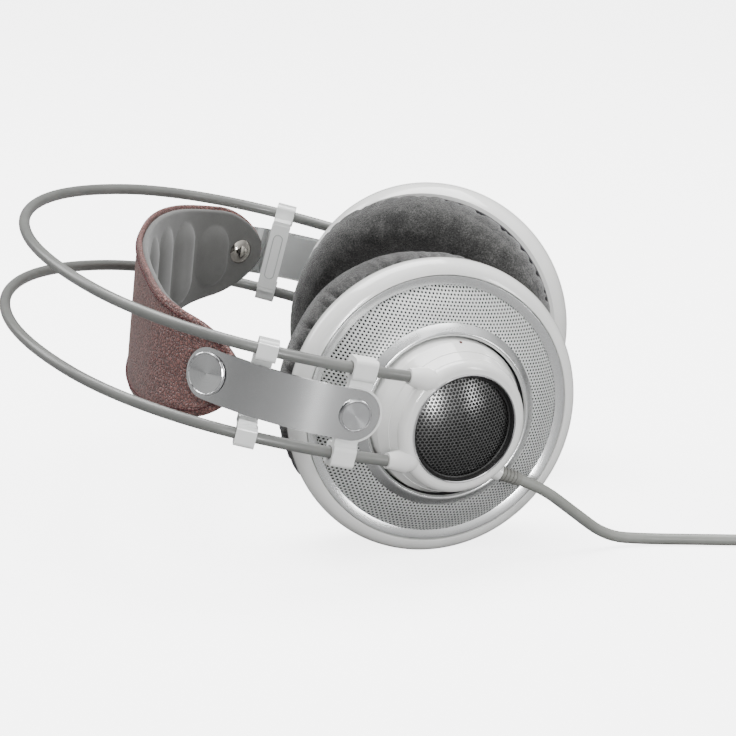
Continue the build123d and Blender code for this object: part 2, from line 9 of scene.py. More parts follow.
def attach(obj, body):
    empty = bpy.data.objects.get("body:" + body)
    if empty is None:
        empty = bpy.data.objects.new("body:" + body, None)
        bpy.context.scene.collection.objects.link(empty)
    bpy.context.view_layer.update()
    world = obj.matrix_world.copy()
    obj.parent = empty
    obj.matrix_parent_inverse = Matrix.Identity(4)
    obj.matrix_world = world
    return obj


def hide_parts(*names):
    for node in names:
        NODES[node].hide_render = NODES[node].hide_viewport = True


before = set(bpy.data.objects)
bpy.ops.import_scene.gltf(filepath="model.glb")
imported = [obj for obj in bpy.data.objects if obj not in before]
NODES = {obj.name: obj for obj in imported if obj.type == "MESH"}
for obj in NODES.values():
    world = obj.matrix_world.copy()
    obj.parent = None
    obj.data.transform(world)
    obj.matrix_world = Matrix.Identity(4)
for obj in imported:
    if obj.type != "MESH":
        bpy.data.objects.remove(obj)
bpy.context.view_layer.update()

# ---------------------------------------------------------------- measures, millimetres
MM = 0.001
ARCH_RISE = 14.2
STAND_HEIGHT = 79.77
CENTRE_Y = -45.45
PIVOT = (81.7, 0.0, -105.8)
HUB_TOE = 26.5
CUP_TOE = {"left": 18.1, "right": 14.0}
CUP_NOD = {"left": 3.1, "right": 2.5}
SIDES = {"left": 1, "right": -1}
CABLE_R = 2.05


def scaled(x, y, z):
    return Vector((x * MM, y * MM, z * MM))


LAID = Matrix.Translation(scaled(0, CENTRE_Y, STAND_HEIGHT))
LAID = LAID @ Matrix.Rotation(math.radians(90 - ARCH_RISE), 4, "X")


def basis(origin, x_axis, z_axis):
    """Worn-frame axes at a worn-frame point (mm), as a matrix in the laid-down frame."""
    z = Vector(z_axis).normalized()
    x = Vector(x_axis).normalized()
    y = z.cross(x)
    m = Matrix((x, y, z)).transposed().to_4x4()
    m.translation = scaled(*origin)
    return LAID @ m


def ear_frame(toe, side, nod=0.0):
    t = math.radians(toe)
    out = (side * math.cos(t), 0, -math.sin(t))
    up = (side * math.sin(t), 0, math.cos(t))
    origin = (side * PIVOT[0], 0, PIVOT[2])
    return basis(origin, up, out) @ Matrix.Rotation(math.radians(nod * side), 4, "X")


# ---------------------------------------------------------------- camera
CAMERA_AT = (1605.69, 87.24 + CENTRE_Y, 425.33)
CAMERA_RIGHT = (-0.0073, 1.0, 0.0006)
CAMERA_BACK = (0.9738, 0.0070, 0.2271)
SENSOR_WIDTH, LENS = 36.0, 215.12


def add_camera():
    data = bpy.data.cameras.new("camera")
    data.sensor_width = SENSOR_WIDTH
    data.lens = LENS
    data.clip_end = 20.0
    cam = bpy.data.objects.new("camera", data)
    back = Vector(CAMERA_BACK).normalized()
    right = Vector(CAMERA_RIGHT)
    right = (right - back * right.dot(back)).normalized()
    up = back.cross(right)
    m = Matrix((right, up, back)).transposed().to_4x4()
    m.translation = scaled(*CAMERA_AT)
    cam.matrix_world = m
    bpy.context.scene.collection.objects.link(cam)
    bpy.context.scene.camera = cam


add_camera()


# ---------------------------------------------------------------- objects
def link(name, mesh, matrix=None):
    ob = bpy.data.objects.new(name, mesh)
    bpy.context.scene.collection.objects.link(ob)
    if matrix is not None:
        ob.matrix_world = matrix
    return ob


def shade_smooth(mesh, angle=35):
    mesh.polygons.foreach_set("use_smooth", [True] * len(mesh.polygons))
    mesh.update()
    mesh.set_sharp_from_angle(angle=math.radians(angle))


def mesh_from(name, verts, faces, matrix=None, angle=35):
    mesh = bpy.data.meshes.new(name)
    mesh.from_pydata([v if isinstance(v, Vector) else Vector(v) for v in verts], [], faces)
    mesh.update()
    shade_smooth(mesh, angle)
    return link(name, mesh, matrix)


def ring_faces(rings, around, closed):
    """Four-sided faces that join each ring of points to the next."""
    faces = []
    for i in range(rings if closed else rings - 1):
        j = (i + 1) % rings
        for k in range(around):
            m = (k + 1) % around
            faces.append((i * around + k, j * around + k, j * around + m, i * around + m))
    return faces


def face_outwards(ob, angle, merge=0.0):
    bm = bmesh.new()
    bm.from_mesh(ob.data)
    if merge:
        bmesh.ops.remove_doubles(bm, verts=bm.verts, dist=merge)
    bmesh.ops.recalc_face_normals(bm, faces=bm.faces)
    bm.to_mesh(ob.data)
    bm.free()
    shade_smooth(ob.data, angle)
    return ob


def lathe(name, outline, matrix, steps=192, angle=30):
    """Turns a closed outline of (radius, height) in millimetres about local Z."""
    verts = []
    for i in range(steps):
        a = 2 * math.pi * i / steps
        c, s = math.cos(a), math.sin(a)
        verts += [Vector((r * c * MM, r * s * MM, z * MM)) for r, z in outline]
    faces = ring_faces(steps, len(outline), True)
    return face_outwards(mesh_from(name, verts, faces, matrix, angle), angle, merge=1e-6)


def arc3(a, b, c, n=10):
    """Points on the circle through a, b and c, from a to c."""
    ax, ay = a
    bx, by = b
    cx, cy = c
    d = 2 * (ax * (by - cy) + bx * (cy - ay) + cx * (ay - by))
    ux = ((ax * ax + ay * ay) * (by - cy) + (bx * bx + by * by) * (cy - ay) + (cx * cx + cy * cy) * (ay - by)) / d
    uy = ((ax * ax + ay * ay) * (cx - bx) + (bx * bx + by * by) * (ax - cx) + (cx * cx + cy * cy) * (bx - ax)) / d
    r = math.hypot(ax - ux, ay - uy)
    t0 = math.atan2(ay - uy, ax - ux)
    t1 = math.atan2(by - uy, bx - ux)
    t2 = math.atan2(cy - uy, cx - ux)
    ccw = (t1 - t0) % (2 * math.pi) < (t2 - t0) % (2 * math.pi)
    sweep = (t2 - t0) % (2 * math.pi) if ccw else -((t0 - t2) % (2 * math.pi))
    return [(ux + r * math.cos(t0 + sweep * k / n), uy + r * math.sin(t0 + sweep * k / n)) for k in range(n + 1)]


def smooth_step(a, b, x):
    t = min(max((x - a) / (b - a), 0.0), 1.0)
    return t * t * (3 - 2 * t)


def tidy_line(points):
    out = [points[0]]
    for p in points[1:]:
        if math.dist(p, out[-1]) > 1e-4:
            out.append(p)
    return out


# ---------------------------------------------------------------- materials
def new_material(name):
    mat = bpy.data.materials.new(name)
    mat.use_nodes = True
    nt = mat.node_tree
    return mat, nt, nt.nodes["Principled BSDF"]


def node(nt, kind, **values):
    n = nt.nodes.new(kind)
    for key, value in values.items():
        if key in n.inputs:
            n.inputs[key].default_value = value
        else:
            setattr(n, key, value)
    return n


def object_coords(nt, scale=(1, 1, 1)):
    tex = node(nt, "ShaderNodeTexCoord")
    mapping = node(nt, "ShaderNodeMapping")
    mapping.inputs["Scale"].default_value = scale
    nt.links.new(tex.outputs["Object"], mapping.inputs["Vector"])
    return mapping.outputs["Vector"]


def noise_at(nt, coords, scale, detail=3.0, rough=0.55, distortion=0.0):
    n = node(nt, "ShaderNodeTexNoise")
    n.inputs["Scale"].default_value = scale
    n.inputs["Detail"].default_value = detail
    n.inputs["Roughness"].default_value = rough
    n.inputs["Distortion"].default_value = distortion
    nt.links.new(coords, n.inputs["Vector"])
    return n.outputs["Fac"]


def ramp(nt, value, stops):
    r = node(nt, "ShaderNodeValToRGB")
    e = r.color_ramp.elements
    while len(e) < len(stops):
        e.new(0.5)
    for item, (pos, col) in zip(e, stops):
        item.position = pos
        item.color = (*col, 1.0)
    nt.links.new(value, r.inputs["Fac"])
    return r.outputs["Color"]


def span(nt, value, low, high):
    m = node(nt, "ShaderNodeMapRange")
    m.inputs["To Min"].default_value = low
    m.inputs["To Max"].default_value = high
    nt.links.new(value, m.inputs["Value"])
    return m.outputs["Result"]


def math_node(nt, op, a, b=None):
    m = node(nt, "ShaderNodeMath", operation=op)
    for i, v in enumerate((a, b)):
        if v is None:
            continue
        if isinstance(v, (int, float)):
            m.inputs[i].default_value = v
        else:
            nt.links.new(v, m.inputs[i])
    return m.outputs[0]


def weighed(nt, a, a_share, b, b_share):
    return math_node(nt, "ADD", math_node(nt, "MULTIPLY", a, a_share), math_node(nt, "MULTIPLY", b, b_share))


def bump(nt, bsdf, height, distance):
    b = node(nt, "ShaderNodeBump")
    b.inputs["Strength"].default_value = 1.0
    b.inputs["Distance"].default_value = distance
    nt.links.new(height, b.inputs["Height"])
    nt.links.new(b.outputs["Normal"], bsdf.inputs["Normal"])


def plastic(name, low, high, rough, coat=0.0, grain=900.0, depth=0.00001):
    mat, nt, bsdf = new_material(name)
    at = object_coords(nt)
    cloud = noise_at(nt, at, 60.0, 4.0)
    nt.links.new(ramp(nt, cloud, [(0.3, low), (0.7, high)]), bsdf.inputs["Base Color"])
    fine = noise_at(nt, at, grain, 3.0)
    nt.links.new(span(nt, fine, *rough), bsdf.inputs["Roughness"])
    bsdf.inputs["Coat Weight"].default_value = coat
    bsdf.inputs["Coat Roughness"].default_value = 0.06
    bsdf.inputs["IOR"].default_value = 1.5
    bump(nt, bsdf, fine, depth)
    return mat


def metal(name, low, high, rough, scale=400.0, aniso=0.0, depth=0.000012, metallic=1.0):
    """Metal; with aniso it is turned about its own Z axis and shines out along the radius."""
    mat, nt, bsdf = new_material(name)
    lines = noise_at(nt, object_coords(nt), scale, 3.0, 0.6)
    if aniso:
        lines = turned_lines(nt, scale)
        tangent = node(nt, "ShaderNodeTangent", direction_type="RADIAL", axis="Z")
        nt.links.new(tangent.outputs["Tangent"], bsdf.inputs["Tangent"])
        bsdf.inputs["Anisotropic"].default_value = aniso
        bsdf.inputs["Anisotropic Rotation"].default_value = 0.25
    nt.links.new(ramp(nt, lines, [(0.3, low), (0.7, high)]), bsdf.inputs["Base Color"])
    nt.links.new(span(nt, lines, *rough), bsdf.inputs["Roughness"])
    bsdf.inputs["Metallic"].default_value = metallic
    bump(nt, bsdf, lines, depth)
    return mat


def turned_lines(nt, scale):
    """Fine rings about the local Z axis, as a lathe leaves them."""
    tex = node(nt, "ShaderNodeTexCoord")
    parts = node(nt, "ShaderNodeSeparateXYZ")
    nt.links.new(tex.outputs["Object"], parts.inputs[0])
    xx = math_node(nt, "MULTIPLY", parts.outputs["X"], parts.outputs["X"])
    yy = math_node(nt, "MULTIPLY", parts.outputs["Y"], parts.outputs["Y"])
    radius = math_node(nt, "SQRT", math_node(nt, "ADD", xx, yy))
    joined = node(nt, "ShaderNodeCombineXYZ")
    nt.links.new(radius, joined.inputs["X"])
    return noise_at(nt, joined.outputs[0], scale * 8, 2.0, 0.6)


BRUSH_STRETCH, BRUSH_SCALE = (1, 0.015, 1), 5200.0


def brushed(name, low, high, rough, across, aniso):
    """Metal brushed along its length, so that its shine spreads across its width."""
    mat, nt, bsdf = new_material(name)
    lines = noise_at(nt, object_coords(nt, BRUSH_STRETCH), BRUSH_SCALE, 3.0, 0.6)
    cloud = noise_at(nt, object_coords(nt), 45.0, 2.0)
    tone = weighed(nt, lines, 0.75, cloud, 0.25)
    nt.links.new(ramp(nt, tone, [(0.3, low), (0.7, high)]), bsdf.inputs["Base Color"])
    nt.links.new(span(nt, lines, *rough), bsdf.inputs["Roughness"])
    bsdf.inputs["Metallic"].default_value = 1.0
    bsdf.inputs["Anisotropic"].default_value = aniso
    geo = node(nt, "ShaderNodeNewGeometry")
    inner = node(nt, "ShaderNodeVectorMath", operation="CROSS_PRODUCT")
    inner.inputs[0].default_value = across
    nt.links.new(geo.outputs["Normal"], inner.inputs[1])
    outer = node(nt, "ShaderNodeVectorMath", operation="CROSS_PRODUCT")
    nt.links.new(geo.outputs["Normal"], outer.inputs[0])
    nt.links.new(inner.outputs["Vector"], outer.inputs[1])
    nt.links.new(outer.outputs["Vector"], bsdf.inputs["Tangent"])
    bump(nt, bsdf, lines, 0.000004)
    return mat


def cloth(name, low, high, sheen, depth=0.00005, mottle=140.0):
    mat, nt, bsdf = new_material(name)
    at = object_coords(nt)
    blotch = noise_at(nt, at, mottle, 5.0, 0.6)
    fine = noise_at(nt, at, 2200.0, 2.0, 0.6)
    mix = weighed(nt, blotch, 0.6, fine, 0.4)
    nt.links.new(ramp(nt, mix, [(0.35, low), (0.65, high)]), bsdf.inputs["Base Color"])
    bsdf.inputs["Roughness"].default_value = 0.95
    bsdf.inputs["Sheen Weight"].default_value = sheen
    bsdf.inputs["Sheen Roughness"].default_value = 0.45
    bsdf.inputs["Sheen Tint"].default_value = (1.0, 1.0, 1.0, 1.0)
    bump(nt, bsdf, mix, depth)
    return mat


def velour(name):
    """Short dense pile: brushed light and dark in patches, with a soft edge shine."""
    mat, nt, bsdf = new_material(name)
    at = object_coords(nt)
    brushed_way = noise_at(nt, at, 150.0, 3.0, 0.55, 0.4)
    strands = noise_at(nt, object_coords(nt, (1, 1, 0.4)), 1900.0, 3.0, 0.75)
    mix = weighed(nt, brushed_way, 0.30, strands, 0.70)
    pile = [(0.36, (0.012, 0.012, 0.012)), (0.50, (0.040, 0.040, 0.039)), (0.66, (0.110, 0.109, 0.106))]
    nt.links.new(ramp(nt, mix, pile), bsdf.inputs["Base Color"])
    bsdf.inputs["Roughness"].default_value = 1.0
    bsdf.inputs["Specular IOR Level"].default_value = 0.1
    bsdf.inputs["Sheen Weight"].default_value = 0.5
    bsdf.inputs["Sheen Roughness"].default_value = 0.4
    bsdf.inputs["Sheen Tint"].default_value = (0.75, 0.75, 0.75, 1.0)
    bump(nt, bsdf, mix, 0.0007)
    return mat


def leather(name, low, high, pebble, depth):
    """Pebbled grain: soft cells drawn about by a coarser noise."""
    mat, nt, bsdf = new_material(name)
    at = object_coords(nt)
    warp = noise_at(nt, at, 330.0, 3.0)
    pull = node(nt, "ShaderNodeTexNoise")
    pull.inputs["Scale"].default_value = 520.0
    nt.links.new(at, pull.inputs["Vector"])
    shift = node(nt, "ShaderNodeVectorMath", operation="MULTIPLY_ADD")
    shift.inputs[1].default_value = (0.0011, 0.0011, 0.0011)
    nt.links.new(pull.outputs["Color"], shift.inputs[0])
    nt.links.new(at, shift.inputs[2])
    cells = node(nt, "ShaderNodeTexVoronoi", feature="DISTANCE_TO_EDGE")
    cells.inputs["Scale"].default_value = pebble
    nt.links.new(shift.outputs[0], cells.inputs["Vector"])
    raised = math_node(nt, "MINIMUM", math_node(nt, "MULTIPLY", cells.outputs["Distance"], 3.2), 1.0)
    soft = math_node(nt, "POWER", raised, 0.6)
    tone = weighed(nt, soft, 0.55, warp, 0.45)
    nt.links.new(ramp(nt, tone, [(0.2, low), (0.85, high)]), bsdf.inputs["Base Color"])
    nt.links.new(span(nt, warp, 0.34, 0.50), bsdf.inputs["Roughness"])
    bsdf.inputs["Sheen Weight"].default_value = 0.05
    bump(nt, bsdf, math_node(nt, "ADD", soft, math_node(nt, "MULTIPLY", warp, 0.8)), depth)
    return mat


ARCH_SIDEWAYS = (0.0, 0.2453, 0.9694)
MAT = {
    "white": plastic("gloss_white", (0.74, 0.74, 0.725), (0.80, 0.80, 0.785), (0.10, 0.16), coat=0.5),
    "clip": plastic("clip_white", (0.72, 0.73, 0.72), (0.78, 0.79, 0.78), (0.14, 0.24), coat=0.4),
    "matte": plastic("matte_white", (0.70, 0.71, 0.70), (0.77, 0.775, 0.765), (0.4, 0.5),
                     grain=1600.0, depth=0.00002),
    "liner": plastic("light_grey", (0.42, 0.43, 0.43), (0.48, 0.49, 0.49), (0.4, 0.5)),
    "rod": plastic("rod_sleeve", (0.125, 0.128, 0.122), (0.165, 0.168, 0.16), (0.30, 0.40),
                   coat=0.15, grain=1200.0, depth=0.00002),
    "cable": plastic("cable_grey", (0.185, 0.19, 0.175), (0.235, 0.24, 0.225), (0.36, 0.46),
                     grain=1200.0, depth=0.00002),
    "relief": plastic("relief_grey", (0.16, 0.16, 0.148), (0.21, 0.21, 0.195), (0.40, 0.50),
                      grain=1200.0, depth=0.00002),
    "dark": plastic("dark_plastic", (0.012, 0.012, 0.013), (0.022, 0.022, 0.024), (0.45, 0.6), grain=1400.0),
    "black": plastic("black_rubber", (0.008, 0.008, 0.008), (0.014, 0.014, 0.014), (0.35, 0.5), grain=1400.0),
    "ring": metal("spun_ring", (0.76, 0.77, 0.77), (0.84, 0.85, 0.85), (0.17, 0.23), aniso=0.85, metallic=0.95),
    "bezel": metal("bezel_silver", (0.70, 0.71, 0.71), (0.76, 0.77, 0.77), (0.22, 0.26),
                   scale=300.0, depth=0.0000005),
    "cap": metal("spun_cap", (0.74, 0.75, 0.75), (0.84, 0.85, 0.85), (0.12, 0.18), aniso=0.85),
    "button": metal("spun_button", (0.70, 0.71, 0.72), (0.80, 0.81, 0.82), (0.16, 0.24), aniso=0.85),
    "arm": brushed("brushed_arm", (0.72, 0.73, 0.73), (0.82, 0.83, 0.83), (0.14, 0.18), ARCH_SIDEWAYS, aniso=0.7),
    "grille": metal("silver_grille", (0.66, 0.67, 0.66), (0.73, 0.74, 0.73), (0.36, 0.46),
                    scale=900.0, metallic=0.35),
    "mesh": metal("dark_mesh", (0.17, 0.17, 0.17), (0.28, 0.28, 0.28), (0.22, 0.34), scale=900.0),
    "chrome": metal("chrome", (0.68, 0.68, 0.69), (0.78, 0.78, 0.79), (0.06, 0.13)),
    "bronze": metal("dark_chrome", (0.36, 0.34, 0.31), (0.44, 0.42, 0.38), (0.08, 0.14)),
    "steel": metal("dark_steel", (0.22, 0.22, 0.23), (0.32, 0.32, 0.33), (0.25, 0.4)),
    "gold": metal("gold", (0.72, 0.50, 0.20), (0.83, 0.62, 0.28), (0.12, 0.2)),
    "velour": velour("grey_velour"),
    # near-black cloth for the cushion's inner wall deep in the cup: painted shade, darker than the velour because
    # that hollow falls in shade
    "pad_inside": cloth("pad_inside", (0.006, 0.006, 0.007), (0.014, 0.014, 0.015), sheen=0.1),
    "lining": cloth("dark_lining", (0.088, 0.088, 0.085), (0.104, 0.104, 0.100),
                    sheen=0.22, depth=0.00003, mottle=90.0),
    "blackcloth": cloth("black_cloth", (0.008, 0.008, 0.008), (0.02, 0.02, 0.02), sheen=0.1),
    "leather": leather("brown_leather", (0.034, 0.010, 0.009), (0.27, 0.122, 0.108), pebble=720.0, depth=0.00042),
    "thread": cloth("red_thread", (0.040, 0.008, 0.009), (0.075, 0.016, 0.017), sheen=0.1),
    "mark": plastic("red_mark", (0.05, 0.006, 0.006), (0.08, 0.012, 0.01), (0.3, 0.4)),
}


def paint(ob, key):
    ob.data.materials.clear()
    ob.data.materials.append(MAT[key])


def paint_node(name, key):
    ob = NODES[name]
    if not ob.material_slots:
        ob.data.materials.append(MAT[key])
    for s in ob.material_slots:
        s.material = MAT[key]


NODE_PAINT = {
    "front_rod": "rod", "rear_rod": "rod", "hub": "white", "hub_pins": "steel", "upper_clip": "clip",
    "gimbal_ring": "dark", "ring_pins": "steel", "baffle": "dark", "driver": "dark", "pad_ring": "dark",
    "driver_cover": "blackcloth", "baffle_screws": "steel", "arm_liner": "liner", "slider": "matte",
    "arm_strip": "arm", "strap_screws": "chrome", "cable_tie": "black", "plug_relief": "black",
    "plug_barrel": "chrome", "plug_pin": "gold", "plug_adapter": "gold", "mesh_ring": "chrome",
    "arm_cap": "chrome", "slider_button": "chrome", "bezel": "bezel", "cup_rim": "white", "trim_ring": "ring",
    "grille": "grille", "mesh_dome": "mesh", "cable_strain_relief": "relief", "cable_tail": "cable",
}
for name in NODES:
    short = name.replace("left_", "").replace("right_", "")
    if short in NODE_PAINT:
        paint_node(name, NODE_PAINT[short])


# ---------------------------------------------------------------- floor and light
def camera_mix(nt, off, on):
    """One shader for light that bounces, another for the pale backdrop seen straight on; no piece uses it."""
    path = node(nt, "ShaderNodeLightPath")
    mix = node(nt, "ShaderNodeMixShader")
    nt.links.new(path.outputs["Is Camera Ray"], mix.inputs["Fac"])
    nt.links.new(off, mix.inputs[1])
    nt.links.new(on, mix.inputs[2])
    return mix.outputs["Shader"]


def add_stage():
    mat, nt, bsdf = new_material("floor_white")
    bsdf.inputs["Base Color"].default_value = (0.15, 0.15, 0.15, 1)
    bsdf.inputs["Roughness"].default_value = 0.7
    pale = node(nt, "ShaderNodeBsdfDiffuse")
    pale.inputs["Color"].default_value = (0.82, 0.82, 0.82, 1)
    glow = node(nt, "ShaderNodeEmission")
    glow.inputs["Strength"].default_value = 4.0
    both = node(nt, "ShaderNodeAddShader")
    nt.links.new(pale.outputs[0], both.inputs[0])
    nt.links.new(glow.outputs[0], both.inputs[1])
    surface = nt.nodes["Material Output"].inputs["Surface"]
    nt.links.new(camera_mix(nt, bsdf.outputs[0], both.outputs[0]), surface)
    front, rear, half, bend, height = 2.5, -1.2, 4.0, 1.6, 4.0
    verts, faces = [], []
    rows = [(front, 0.0), (rear, 0.0)]
    for k in range(1, 13):
        a = math.pi / 2 * k / 12
        rows.append((rear - bend * math.sin(a), bend * (1 - math.cos(a))))
    rows.append((rear - bend, height))
    for x, z in rows:
        verts += [Vector((x, -half, z)), Vector((x, half, z))]
    for i in range(len(rows) - 1):
        faces.append((2 * i, 2 * i + 1, 2 * i + 3, 2 * i + 2))
    floor = mesh_from("floor", verts, faces, angle=60)
    floor.data.materials.append(mat)


def area_light(name, at, target, size, power):
    data = bpy.data.lights.new(name, "AREA")
    data.shape = "RECTANGLE"
    data.size, data.size_y = size
    data.energy = power
    ob = bpy.data.objects.new(name, data)
    ob.location = at
    ob.rotation_euler = (Vector(target) - Vector(at)).to_track_quat("-Z", "Y").to_euler()
    bpy.context.scene.collection.objects.link(ob)


def world_light(nt):
    """A studio all round: bright overhead, with broad light and dark panels near the horizon."""
    tex = node(nt, "ShaderNodeTexCoord")
    parts = node(nt, "ShaderNodeSeparateXYZ")
    nt.links.new(tex.outputs["Generated"], parts.inputs[0])
    around = math_node(nt, "ARCTAN2", parts.outputs["Y"], parts.outputs["X"])
    place = math_node(nt, "ADD", math_node(nt, "MULTIPLY", around, 0.5 / math.pi), 0.5)
    panels = [(-180, 0.70), (-92, 0.60), (-66, 0.50), (-42, 0.24), (-14, 0.04), (-2, 0.04),
              (3, 1.9), (14, 1.6), (28, 1.1), (48, 0.62), (90, 0.62), (180, 0.70)]
    side = ramp(nt, place, [(a / 360 + 0.5, (b, b, b)) for a, b in panels])
    lift = node(nt, "ShaderNodeMapRange")
    lift.interpolation_type = "SMOOTHSTEP"
    lift.inputs["From Min"].default_value = 0.45
    lift.inputs["From Max"].default_value = 0.85
    nt.links.new(parts.outputs["Z"], lift.inputs["Value"])
    return math_node(nt, "ADD", side, math_node(nt, "MULTIPLY", lift.outputs["Result"], 0.8))


def add_light():
    world = bpy.data.worlds.new("studio")
    bpy.context.scene.world = world
    world.use_nodes = True
    nt = world.node_tree
    back = nt.nodes["Background"]
    nt.links.new(world_light(nt), back.inputs["Strength"])
    plain = node(nt, "ShaderNodeBackground")
    plain.inputs["Strength"].default_value = 1.0
    plain.inputs["Color"].default_value = (1, 1, 1, 1)
    back.inputs["Color"].default_value = (1, 1, 1, 1)
    nt.links.new(camera_mix(nt, back.outputs[0], plain.outputs[0]), nt.nodes["World Output"].inputs["Surface"])
    area_light("top", (-0.25, -0.1, 1.25), (0, 0, 0.05), (1.1, 0.9), 31.0)
    area_light("front", (1.35, 0.28, 0.34), (0, 0, 0.05), (0.12, 0.56), 11.0)
    area_light("back_left", (-0.55, -0.95, 0.75), (0, 0, 0.05), (0.6, 0.5), 6.0)
    area_light("front_right", (0.75, 1.1, 0.30), (0.08, 0.0, 0.05), (0.16, 0.5), 3.5)


add_stage()
add_light()

# ---------------------------------------------------------------- cable
HUB_LEFT = ear_frame(HUB_TOE, 1)
CABLE_MOUTH = Vector((-21.5, 15.75, 13.5))
CABLE_WAY = Vector((-0.979, 0.177, 0.099)).normalized()
RELIEF_REACH = 8.6
COIL_X, COIL_Y = 35.6, 252.0 + CENTRE_Y
COIL_MID_R = 22.3
COIL_LOW = 0.6
ACROSS, LAYERS = 4, 5
TAIL_R = 37.0
PLUG_Z = 5.6


def exit_point(reach):
    return HUB_LEFT @ ((CABLE_MOUTH + CABLE_WAY * reach) * MM)


def coil_cells():
    """(radius, height) of each turn of the coil, in the order the cable is wound."""
    radii = [COIL_MID_R + (c - (ACROSS - 1) / 2) * 2 * CABLE_R for c in range(ACROSS)]
    levels = [COIL_LOW + CABLE_R + k * 2 * CABLE_R for k in range(LAYERS)]
    cells = [(r, levels[0]) for r in reversed(radii)]
    for i, r in enumerate(radii):
        column = levels[1:] if i % 2 == 0 else levels[:0:-1]
        cells += [(r, z) for z in column]
    return cells


def cable_points():
    points = [exit_point(k) for k in (RELIEF_REACH, RELIEF_REACH + 9.4)]
    outer = COIL_MID_R + (ACROSS - 1) * CABLE_R
    loose = [(73.6, 149.8, 15.4), (67.6, 162.4, 4.2), (63.2, 177.0, 2.15),
             (63.8, 194.5, 2.15), (64.9, 213.0, 2.15)]
    points += [scaled(x, y + CENTRE_Y, z) for x, y, z in loose]
    points.append(scaled(COIL_X + outer, COIL_Y - 19.0, 2.3))
    cells = coil_cells()
    per_turn = 16
    for i, (r, z) in enumerate(cells):
        r2, z2 = cells[min(i + 1, len(cells) - 1)]
        for k in range(per_turn):
            t = max(0.0, (k / per_turn - 0.75) / 0.25)
            rr, zz = r + (r2 - r) * t, z + (z2 - z) * t
            a = 2 * math.pi * k / per_turn
            rr /= math.cos(math.pi / per_turn) ** 0.5
            points.append(scaled(COIL_X + rr * math.cos(a), COIL_Y + rr * math.sin(a), zz))
    middle = COIL_X + outer - TAIL_R
    points.append(scaled(COIL_X + outer, COIL_Y, cells[-1][1]))
    for k in range(4):
        a = math.radians(22.5 * (k + 0.5))
        r = TAIL_R / math.cos(math.radians(11.25))
        z = cells[-1][1] + (PLUG_Z - cells[-1][1]) * (k + 1) / 5
        points.append(scaled(middle + r * math.cos(a), COIL_Y + r * math.sin(a), z))
    points.append(scaled(middle, COIL_Y + TAIL_R, PLUG_Z))
    return points


def add_cable():
    curve = bpy.data.curves.new("cable", "CURVE")
    curve.dimensions = "3D"
    points = cable_points()
    spline = curve.splines.new("NURBS")
    spline.points.add(len(points) - 1)
    for p, co in zip(spline.points, points):
        p.co = (*co, 1.0)
    spline.order_u = 3
    spline.use_endpoint_u = True
    spline.resolution_u = 6
    curve.bevel_depth = CABLE_R * MM
    curve.bevel_resolution = 5
    curve.use_fill_caps = True
    ob = link("cable", curve)
    curve.materials.append(MAT["cable"])
    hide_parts("cable_tube", "cable_coil", "cable_tail")
    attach(ob, "frame")


add_cable()


# ---------------------------------------------------------------- ear cups, hard parts
def finish_piece(ob, material, body, *nodes, slot=None):
    if material:
        paint(ob, material)
    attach(ob, body)
    if nodes:
        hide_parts(*nodes)
    return ob


RIM = (arc3((49.2, -5.3), (52.5, -7.3), (54.0, -10.6), 14) + arc3((54.0, -10.6), (53.4, -14.6), (51.0, -18.5), 12)
       + [(47.0, -18.5), (46.9, -18.3), (46.9, -8.6), (44.0, -8.6),
          (44.0, -7.4), (48.7, -7.4), (48.75, -6.9), (49.0, -5.5)])
TRIM = [(45.25, -7.38), (48.65, -7.38), (48.65, -5.75), (48.5, -5.56),
        (48.2, -5.52), (45.6, -6.1), (45.35, -6.2), (45.25, -6.4)]
GRILLE_ARC = ((33.1, 2.85), (39.6, -0.8), (45.2, -6.3))
PITCH = 1.32
HOLE = 0.46


def arc_height(a, b, c):
    """Height at a radius, along the circle through three (radius, height) points."""
    line = arc3(a, b, c, 60)

    def at(r):
        for (r0, z0), (r1, z1) in zip(line, line[1:]):
            if min(r0, r1) <= r <= max(r0, r1):
                return z0 + (z1 - z0) * (r - r0) / (r1 - r0)
        if r < line[0][0]:
            (r0, z0), (r1, z1) = line[0], line[1]
        else:
            (r0, z0), (r1, z1) = line[-2], line[-1]
        return z0 + (z1 - z0) * (r - r0) / (r1 - r0)
    return at


def perforated(name, height, inner, outer, pitch, hole, matrix, turn, thick=0.25):
    """Hexagonal cells, each with a hole in it, over a ring, with each point lifted to the sheet's height."""
    verts, faces, index = [], [], {}

    def vert(x, y, drop=0.0):
        key = (round(x, 3), round(y, 3), drop)
        if key not in index:
            index[key] = len(verts)
            verts.append(Vector((x * MM, y * MM, (height(math.hypot(x, y)) - drop) * MM)))
        return index[key]
    rows = int(outer / (pitch * 0.866)) + 2
    ct, st = math.cos(turn), math.sin(turn)
    corner = pitch / math.sqrt(3)
    for j in range(-rows, rows + 1):
        for i in range(-rows - 2, rows + 3):
            u = (i + (j % 2) * 0.5) * pitch
            v = j * pitch * 0.8660254
            cx, cy = u * ct - v * st, u * st + v * ct
            r = math.hypot(cx, cy)
            if r < inner - pitch * 0.3 or r > outer + pitch * 0.3:
                continue
            ring, rim, low = [], [], []
            for k in range(6):
                a = math.radians(60 * k + 30) + turn
                ring.append(vert(cx + corner * math.cos(a), cy + corner * math.sin(a)))
                rim.append(vert(cx + hole * math.cos(a), cy + hole * math.sin(a)))
                low.append(vert(cx + hole * 0.92 * math.cos(a), cy + hole * 0.92 * math.sin(a), thick))
            for k in range(6):
                m = (k + 1) % 6
                faces.append((ring[k], ring[m], rim[m], rim[k]))
                faces.append((rim[k], rim[m], low[m], low[k]))
    return mesh_from(name, verts, faces, matrix, 50)


